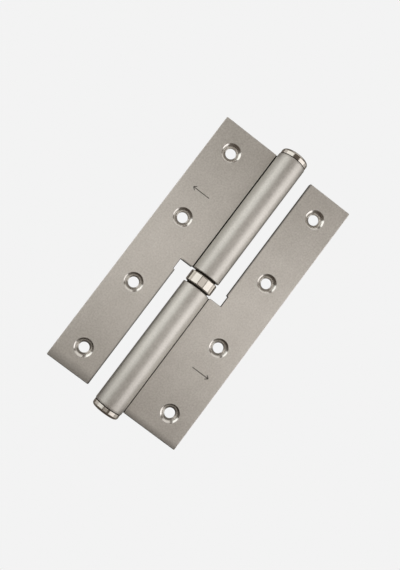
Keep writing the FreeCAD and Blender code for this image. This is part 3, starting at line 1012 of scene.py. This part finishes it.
def add_rings(tree, steps):
    """Uneven rings, one to a step."""
    rings = tree.add("ShaderNodeTexNoise", {"W": steps, "Scale": 1.0, "Detail": 2.0}, noise_dimensions="1D")
    return rings.outputs["Fac"]


def add_pattern(tree, name, build, place):
    """Outputs of a shared pattern, which is built on its first use."""
    group = bpy.data.node_groups.get(name) or build(name)
    return tree.add("ShaderNodeGroup", {"Vector": place}, node_tree=group).outputs


def new_material(name, metallic=1.0):
    """Material with its shader, and the place on the piece that its patterns follow."""
    material = bpy.data.materials.new(name)
    material.use_nodes = True
    material.node_tree.nodes.clear()
    tree = Tree(material.node_tree)
    shader = tree.add("ShaderNodeBsdfPrincipled", {"Metallic": metallic})
    tree.add("ShaderNodeOutputMaterial", {"Surface": shader.outputs["BSDF"]})
    place = tree.add("ShaderNodeTexCoord").outputs["Object"]
    return material, tree, shader, place


def tinted(tree, mask, base, tones):
    """A colour that a mask varies between two tones of itself."""
    dark, light = ([part * tone for part in base] for tone in tones)
    return tree.blend(mask, dark, light)


def varied(tree, mask, roughness, gloss):
    """A roughness that a mask varies on both sides of its setting."""
    return tree.spread(mask, roughness + gloss[0], roughness + gloss[1])


def satin_nickel(name):
    """Warm satin plate, grained and clouded, with painted shade over the barrels, at the leaves' lower ends
    and along the edges next to the pin.
    """
    leaf, _ = sizes()
    look = finish()
    material, tree, shader, place = new_material(name)
    pearl = add_pattern(tree, "pearl_grain", build_grain_group, place)
    cloud = tree.calculate("MULTIPLY", pearl["Cloud"], look.cloud_share)
    mask = tree.calculate("MULTIPLY_ADD", pearl["Grain"], 1 - look.cloud_share, cloud)
    plate = tree.blend(mask, look.satin_shade, look.satin)
    rim = leaf_lines()["barrel"]
    beside = tree.spread(tree.radius(place), 0.0, 1.0, rim, rim + leaf.barrel_fade)
    # Painted shade over the barrels and the leaves
    level = tree.spread(beside, painted_barrel_shade(tree, place), painted_leaf_shade(tree, place))
    tree.feed(shader, "Base Color", tree.shade(plate, level))
    gloss = tree.spread(beside, look.barrel_roughness, look.satin_roughness)
    uneven = tree.spread(pearl["Grain"], -look.satin_uneven, look.satin_uneven)
    tree.feed(shader, "Roughness", tree.calculate("ADD", gloss, uneven))
    tree.bump(shader, SATIN_BUMP, SATIN_DEPTH, pearl["Height"])
    return material


def painted_barrel_shade(tree, place):
    """Brightness of the barrels as painted shade, which falls off to their sides."""
    look = finish()
    rim = leaf_lines()["barrel"]
    across = tree.calculate("ABSOLUTE", tree.split(place)[0])
    return tree.spread(
        across, look.barrel_front_shade, look.barrel_flank_shade, look.front_share * rim, look.flank_share * rim
    )


def painted_leaf_shade(tree, place):
    """Brightness of the flat leaves as painted shade, darker at their lower ends and along the edges next
    to the pin.
    """
    leaf, _ = sizes()
    look = finish()
    at = leaf_lines()
    x, _, z = tree.split(place)
    across = tree.calculate("ABSOLUTE", x)
    along = tree.calculate("MULTIPLY", z, tree.calculate("SIGN", x))
    on_frame_leaf = tree.calculate("GREATER_THAN", x, 0.0)
    on_door_leaf = tree.calculate("LESS_THAN", x, 0.0)
    on_strip = tree.calculate("GREATER_THAN", along, at["notch"])
    next_to_pin = tree.calculate("LESS_THAN", across, at["strip"])
    low = at["bottom"]
    plain = tree.spread(on_frame_leaf, low + leaf.door_shade_length, low + leaf.frame_shade_length)
    low_end = tree.spread(z, look.low_end_shade, 1.0, low, plain)
    strip_edge = tree.spread(across, look.inner_edge_shade, 1.0, at["strip"], at["strip"] + leaf.inner_shade_width)
    strip_edge = tree.spread(on_strip, 1.0, strip_edge)
    notch_edge = tree.spread(z, look.inner_edge_shade, 1.0, -at["notch"], leaf.inner_shade_width - at["notch"])
    at_notch = tree.calculate("MULTIPLY", next_to_pin, on_door_leaf)
    notch_edge = tree.spread(at_notch, 1.0, notch_edge)
    return tree.calculate("MULTIPLY", tree.calculate("MULTIPLY", low_end, strip_edge), notch_edge)


def turned_metal(name):
    """Bright metal with faint rings from turning and buffing."""
    key, strength = TURNED_FINISHES[name]
    base, roughness = getattr(finish(), key), getattr(finish(), f"{key}_roughness")
    material, tree, shader, place = new_material(name)
    lathe = add_pattern(tree, "lathe_rings", build_lathe_group, place)
    tree.feed(shader, "Base Color", tinted(tree, lathe["Smear"], base, TURNED_TONES))
    tree.feed(shader, "Roughness", varied(tree, lathe["Smear"], roughness, TURNED_GLOSS))
    tree.bump(shader, strength, RING_DEPTH, lathe["Rings"])
    return material


def dull_metal(name):
    """Dull grained metal for cut edges, stamped strokes and gaps; its dark colour on the cut edges is
    partly, and in the gaps wholly, painted shade.
    """
    key = DULL_FINISHES[name]
    base, roughness = getattr(finish(), key), getattr(finish(), f"{key}_roughness")
    material, tree, shader, place = new_material(name)
    grain = add_pattern(tree, "pearl_grain", build_grain_group, place)["Grain"]
    tree.feed(shader, "Base Color", tinted(tree, grain, base, DULL_TONES))
    tree.feed(shader, "Roughness", varied(tree, grain, roughness, DULL_GLOSS))
    return material


def machined_cone(name):
    """Bright countersinks with the tool's rings round each hole, and painted shade above the lower holes.
    """
    look = finish()
    material, tree, shader, place = new_material(name)
    radius, rise = around_hole(tree, place)
    rings = add_rings(tree, tree.calculate("DIVIDE", radius, CONE_RING_WIDTH))
    # Painted shade on the countersinks' upper sides, strongest at the lowest holes
    row_end = MOUNTS["frame_screws_outer"]["dims"]["spacing_y_mm"] * MM / 2
    darkest = tree.spread(tree.split(place)[2], look.cone_shade, 1.0, -row_end, row_end)
    level = tree.spread(rise, 1.0, darkest, *CONE_TURN)
    tree.feed(shader, "Base Color", tree.shade(tinted(tree, rings, look.cone, CONE_TONES), level))
    tree.feed(shader, "Roughness", varied(tree, rings, look.cone_roughness, CONE_GLOSS))
    tree.bump(shader, CONE_BUMP, CONE_DEPTH, rings)
    return material


def around_hole(tree, place):
    """Distance from the axis of the nearest screw hole, and the height above it by that distance."""
    holes = MOUNTS["frame_screws_inner"]
    pitch = holes["dims"]["spacing_y_mm"] * MM
    x, _, z = tree.split(place)
    side = tree.calculate("SIGN", x)
    across = tree.calculate("SUBTRACT", tree.calculate("ABSOLUTE", x), holes["pos_m"][0])
    along = tree.calculate("SUBTRACT", tree.calculate("MULTIPLY", z, side), holes["pos_m"][2])
    along = tree.calculate("FLOORED_MODULO", along, pitch)
    along = tree.calculate("SUBTRACT", along, pitch / 2)
    radius = tree.radius(tree.add("ShaderNodeCombineXYZ", {"X": across, "Y": along}).outputs[0])
    return radius, tree.calculate("DIVIDE", tree.calculate("MULTIPLY", along, side), radius)


FINISHES = {
    "satin_nickel": satin_nickel,
    "machined_cone": machined_cone,
    **dict.fromkeys(TURNED_FINISHES, turned_metal),
    **dict.fromkeys(DULL_FINISHES, dull_metal),
}


def finish_named(name):
    """One of the hinge's finishes, built on first use."""
    known = bpy.data.materials.get(name)
    if known and known.get("hinge_finish"):
        return known
    if known:
        known.name = f"{name}_packed"
    material = FINISHES[name](name)
    material["hinge_finish"] = True
    return material


# Studio

# Where reflections of the room turn from back to front, and from the part below to the walls
FRONT_TURN = (0.25, -0.75)
BELOW_TURN = (-0.95, -0.4)

FLOOR_SIDES = 96
FLOOR_SPECKS = 60.0

# Soft panels: azimuth and elevation in degrees, distance, width and height in metres, brightness, colour.
# Azimuth is measured from the camera's side of the hinge, to the right.
PANELS = {
    "left_panel": (-54.5, 7.5, 0.8, 0.85, 0.68, 1.13, (0.985, 1.0, 0.985)),
    "left_wing": (-100, 7.5, 0.8, 0.51, 0.68, 0.54, (1.0, 0.98, 0.96)),
    "right_panel": (57.5, 7.5, 0.8, 0.83, 0.68, 1.30, (1.0, 0.975, 0.97)),
    "right_wing": (102.5, 7.5, 0.8, 0.51, 0.68, 0.48, (1.0, 0.98, 0.96)),
    "front_panel": (2, 4.6, 0.5, 0.42, 0.19, 0.71, (1.0, 0.96, 0.935)),
    "low_strip": (-2.9, -17.8, 0.5, 0.29, 0.016, 0.72, (1.0, 0.97, 0.94)),
    "top_panel": (0, 72, 0.7, 0.9, 0.5, 0.6, (1.0, 0.98, 0.95)),
}


def set_backdrop():
    """Pale backdrop for the camera, and for reflections a dim room that is darkest below the hinge."""
    studio = bpy.context.scene.hinge_studio
    world = bpy.data.worlds.new("studio")
    world.use_nodes = True
    world.node_tree.nodes.clear()
    tree = Tree(world.node_tree)
    seen = tree.add("ShaderNodeBackground", {"Color": (*studio.backdrop, 1)})
    _, forward, upward = tree.split(tree.add("ShaderNodeTexCoord").outputs["Generated"])
    front = tree.spread(forward, 0.0, 1.0, *FRONT_TURN, interpolation_type="SMOOTHSTEP")
    above = tree.spread(upward, 0.0, 1.0, *BELOW_TURN)
    walls = tree.blend(front, studio.room_back, studio.room_front)
    room = tree.blend(above, studio.room_below, walls)
    mirrored = tree.add("ShaderNodeBackground", {"Color": room})
    straight = tree.add("ShaderNodeLightPath").outputs["Is Camera Ray"]
    mix = tree.add("ShaderNodeMixShader", {0: straight, 1: mirrored.outputs[0], 2: seen.outputs[0]})
    tree.add("ShaderNodeOutputWorld", {"Surface": mix.outputs[0]})
    bpy.context.scene.world = world


def lay_floor():
    """Pale floor well below the hinge, fading out towards its rim and left out of reflections."""
    studio = bpy.context.scene.hinge_studio
    bpy.ops.object.select_all(action="DESELECT")
    bpy.ops.mesh.primitive_circle_add(
        vertices=FLOOR_SIDES,
        radius=studio.floor_radius,
        fill_type="NGON",
        location=(0, 0, -studio.floor_drop),
    )
    floor = bpy.context.object
    floor.name = "floor"
    apply_place()
    material, tree, shader, place = new_material("pale_floor", metallic=0.0)
    speck = tree.add("ShaderNodeTexNoise", {"Vector": place, "Scale": FLOOR_SPECKS, "Detail": 4.0})
    tone = tree.blend(speck.outputs["Fac"], studio.floor_tone, studio.floor_speck)
    tree.feed(shader, "Base Color", tone)
    tree.feed(shader, "Roughness", studio.floor_roughness)
    tree.feed(shader, "Emission Color", (*studio.floor_light, 1))
    tree.feed(shader, "Emission Strength", studio.floor_glow)
    fade = tree.spread(tree.radius(place), 1.0, 0.0, studio.floor_plain, studio.floor_gone)
    tree.feed(shader, "Alpha", fade)
    floor.visible_glossy = False
    paint(floor, material)


def hang_panels():
    """Soft panels with wings to both sides of the camera, one behind it, one above and a low strip."""
    for name, (azimuth, elevation, distance, width, height, brightness, tint) in PANELS.items():
        light = bpy.data.lights.new(name, "AREA")
        light.shape = "RECTANGLE"
        light.size = width
        light.size_y = height
        light.color = tint
        light.energy = brightness * math.pi * width * height
        panel = bpy.data.objects.new(name, light)
        bpy.context.scene.collection.objects.link(panel)
        turn = math.radians(azimuth)
        rise = math.radians(elevation)
        out = Vector((math.sin(turn) * math.cos(rise), -math.cos(turn) * math.cos(rise), math.sin(rise)))
        panel.location = out * distance
        panel.rotation_euler = out.to_track_quat("Z", "Y").to_euler()


def set_camera():
    """Camera of the photograph: nearly square on to the leaves, with the pin leaning to the right."""
    studio = bpy.context.scene.hinge_studio
    turn = Matrix.Rotation(studio.tilt, 3, "X") @ Matrix.Rotation(studio.swing, 3, "Z")
    forward = turn @ Vector((0, 1, 0))
    across = turn @ Vector((1, 0, 0))
    upward = turn @ Vector((0, 0, 1))
    right = math.cos(studio.roll) * across + math.sin(studio.roll) * upward
    top = math.cos(studio.roll) * upward - math.sin(studio.roll) * across
    target = Vector((studio.target_x, 0, studio.target_z))
    camera = bpy.data.objects.new("camera", bpy.data.cameras.new("camera"))
    bpy.context.scene.collection.objects.link(camera)
    camera.data.sensor_width = SENSOR_WIDTH
    camera.data.lens = studio.focal_pixels / PHOTO_HEIGHT * SENSOR_WIDTH
    facing = Matrix((right, top, -forward)).transposed().to_4x4()
    camera.matrix_world = Matrix.Translation(target - forward * studio.distance) @ facing
    camera.data.shift_x = studio.shift_right
    camera.data.shift_y = studio.shift_up
    camera.data.clip_start = studio.clip_start
    bpy.context.scene.camera = camera


# Operators


class HINGE_OT_leaves(bpy.types.Operator):
    """Roll the two leaves, bore their screw holes and finish them in satin nickel"""

    bl_idname = "hinge.leaves"
    bl_label = "Leaves"

    def execute(self, context):
        frame_leaf = build_leaf()
        frame_leaf.name = "frame_leaf_rolled"
        door_leaf = turn_end_for_end(frame_leaf)
        door_leaf.name = "door_leaf_rolled"
        for piece, node, side in ((frame_leaf, "frame_leaf", 1), (door_leaf, "door_leaf", -1)):
            hand_over(piece, node, "satin_nickel")
            finish_leaf(piece, side)
        return {"FINISHED"}


class HINGE_OT_caps(bpy.types.Operator):
    """Turn the two polished end caps"""

    bl_idname = "hinge.caps"
    bl_label = "End caps"

    def execute(self, context):
        bottom = build_cap()
        top = turn_end_for_end(bottom)
        top.name = "top_cap_turned"
        for cap, node in ((bottom, "bottom_cap"), (top, "top_cap")):
            hand_over(cap, node, "polished_nickel")
            # Painted shade in the groove between the cap and its barrel
            touch_up(cap, "oiled_gap", is_cap_groove)
        return {"FINISHED"}


class HINGE_OT_bearing(bpy.types.Operator):
    """Turn the bearing's case and race and set the balls between them"""

    bl_idname = "hinge.bearing"
    bl_label = "Bearing"

    def execute(self, context):
        _, barrel = sizes()
        case = build_case()
        race = build_race()
        hand_over(case, "bearing_case", "polished_nickel")
        hand_over(race, "upper_race", "ground_steel")
        foot = CASE_LOW.z + barrel.case_foot
        # Painted shade under the case's foot and on the race's collar, which shows through the gap above
        # the case
        touch_up(case, "oiled_gap", lambda face: face.center.z < foot + SLACK)
        touch_up(race, "oiled_gap", lambda face: face.center.z > CASE_HIGH.z - barrel.case_wall)
        model = build_ball()
        for node in BALLS:
            low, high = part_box(node)
            ball = model.copy()
            ball.data = model.data.copy()
            ball.data.transform(Matrix.Translation((low + high) / 2))
            ball.name = f"{node}_round"
            context.scene.collection.objects.link(ball)
            hand_over(ball, node, "ground_steel")
        bpy.data.objects.remove(model)
        return {"FINISHED"}


class HINGE_OT_pin(bpy.types.Operator):
    """Turn the pin"""

    bl_idname = "hinge.pin"
    bl_label = "Pin"

    def execute(self, context):
        hand_over(build_pin(), "hinge_pin", "ground_steel")
        return {"FINISHED"}


class HINGE_OT_stage(bpy.types.Operator):
    """Set the floor, the backdrop, the lights and the camera"""

    bl_idname = "hinge.stage"
    bl_label = "Studio"

    def execute(self, context):
        set_backdrop()
        lay_floor()
        hang_panels()
        set_camera()
        context.scene.view_settings.view_transform = "Standard"
        return {"FINISHED"}


class HINGE_PT_sidebar(bpy.types.Panel):
    """Steps and settings of the hinge"""

    bl_idname = "HINGE_PT_sidebar"
    bl_label = "Lift-off hinge"
    bl_space_type = "VIEW_3D"
    bl_region_type = "UI"
    bl_category = "Hinge"

    def draw(self, context):
        for operator in OPERATORS:
            self.layout.operator(operator.bl_idname)
        for name, kind in SETTINGS.items():
            box = self.layout.box()
            box.label(text=kind.__doc__)
            for key in kind.__annotations__:
                box.prop(getattr(context.scene, name), key)


OPERATORS = (HINGE_OT_leaves, HINGE_OT_caps, HINGE_OT_bearing, HINGE_OT_pin, HINGE_OT_stage)
SETTINGS = {
    "hinge_leaf": LeafSizes,
    "hinge_barrel": BarrelSizes,
    "hinge_finish": HingeFinish,
    "hinge_studio": StudioSettings,
}


def register():
    for kind in (*SETTINGS.values(), *OPERATORS, HINGE_PT_sidebar):
        bpy.utils.register_class(kind)
    for name, kind in SETTINGS.items():
        setattr(bpy.types.Scene, name, bpy.props.PointerProperty(type=kind))


def unregister():
    for name in SETTINGS:
        delattr(bpy.types.Scene, name)
    for kind in reversed((*SETTINGS.values(), *OPERATORS, HINGE_PT_sidebar)):
        bpy.utils.unregister_class(kind)


def main():
    register()
    bpy.ops.hinge.leaves()
    bpy.ops.hinge.caps()
    bpy.ops.hinge.bearing()
    bpy.ops.hinge.pin()
    bpy.ops.hinge.stage()


if __name__ == "__main__":
    main()
